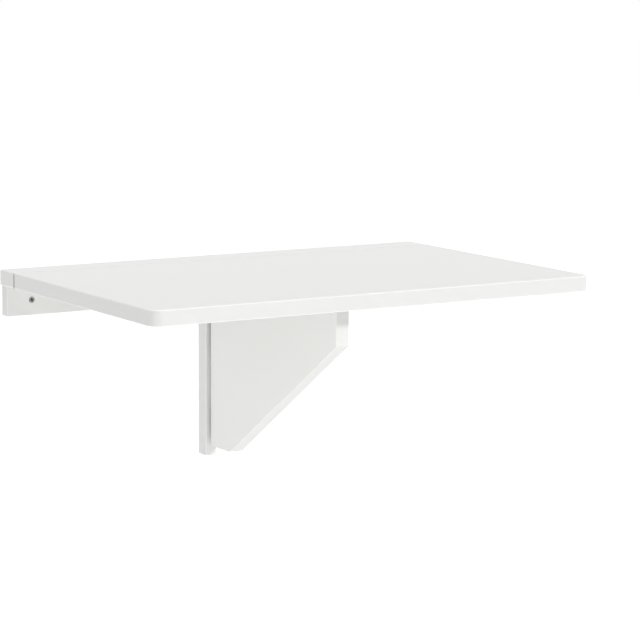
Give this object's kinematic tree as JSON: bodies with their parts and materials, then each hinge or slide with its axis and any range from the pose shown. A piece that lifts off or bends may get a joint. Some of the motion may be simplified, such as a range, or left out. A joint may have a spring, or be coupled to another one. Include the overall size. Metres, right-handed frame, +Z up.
{
  "type": "wall mounted drop leaf table",
  "caption": "Wall mounted folding table: a rectangular leaf hinged to a narrow wall strip and rail, held open by a triangular bracket panel that swings on a post.",
  "frame": {"origin": "on the wall plane, in the middle of the table's width, at the height of the row of wall screws (half the rail's height)", "axes": "+X along the wall to the right as seen from the room, +Y into the wall, +Z up; the leaf reaches towards -Y"},
  "size_m": [0.6, 0.435, 0.257],
  "materials": {
    "white_lacquer": "satin white lacquer on board, edges eased",
    "nickel_hinge": "nickel plated pressed steel",
    "nickel_screw": "nickel plated steel",
    "zinc_screw": "bright zinc plated steel",
    "beech_dowel": "raw beech"
  },
  "bodies": {
    "wall_frame": {"bracket_hinge_lower_pin": "nickel_hinge", "bracket_hinge_lower_post_flap": "nickel_hinge", "bracket_hinge_lower_post_screws": "nickel_screw", "bracket_hinge_upper_pin": "nickel_hinge", "bracket_hinge_upper_post_flap": "nickel_hinge", "bracket_hinge_upper_post_screws": "nickel_screw", "hinge_post": "white_lacquer", "leaf_hinge_left_pin": "nickel_hinge", "leaf_hinge_left_strip_flap": "nickel_hinge", "leaf_hinge_left_strip_screws": "nickel_screw", "leaf_hinge_right_pin": "nickel_hinge", "leaf_hinge_right_strip_flap": "nickel_hinge", "leaf_hinge_right_strip_screws": "nickel_screw", "post_dowel": "beech_dowel", "post_wall_screw": "zinc_screw", "rail_wall_screws": "zinc_screw", "strip_dowels": "beech_dowel", "wall_rail": "white_lacquer", "wall_strip": "white_lacquer"},
    "drop_leaf": {"leaf": "white_lacquer", "leaf_hinge_left_leaf_flap": "nickel_hinge", "leaf_hinge_left_leaf_screws": "nickel_screw", "leaf_hinge_right_leaf_flap": "nickel_hinge", "leaf_hinge_right_leaf_screws": "nickel_screw", "stop_block": "white_lacquer", "stop_block_screws": "nickel_screw"},
    "bracket": {"bracket_hinge_lower_panel_flap": "nickel_hinge", "bracket_hinge_lower_panel_screws": "nickel_screw", "bracket_hinge_upper_panel_flap": "nickel_hinge", "bracket_hinge_upper_panel_screws": "nickel_screw", "bracket_panel": "white_lacquer"}
  },
  "joints": [
    {"name": "leaf_lift", "type": "hinge", "parent": "wall_frame", "child": "drop_leaf", "pos_m": [0, -0.03945, 0.016], "axis": [1, 0, 0], "range_deg": [-3.5, 0]},
    {"name": "bracket_swing", "type": "hinge", "parent": "wall_frame", "child": "bracket", "pos_m": [-0.0065, -0.0215, -0.117], "axis": [0, 0, 1], "range_deg": [0, 90]}
  ]
}
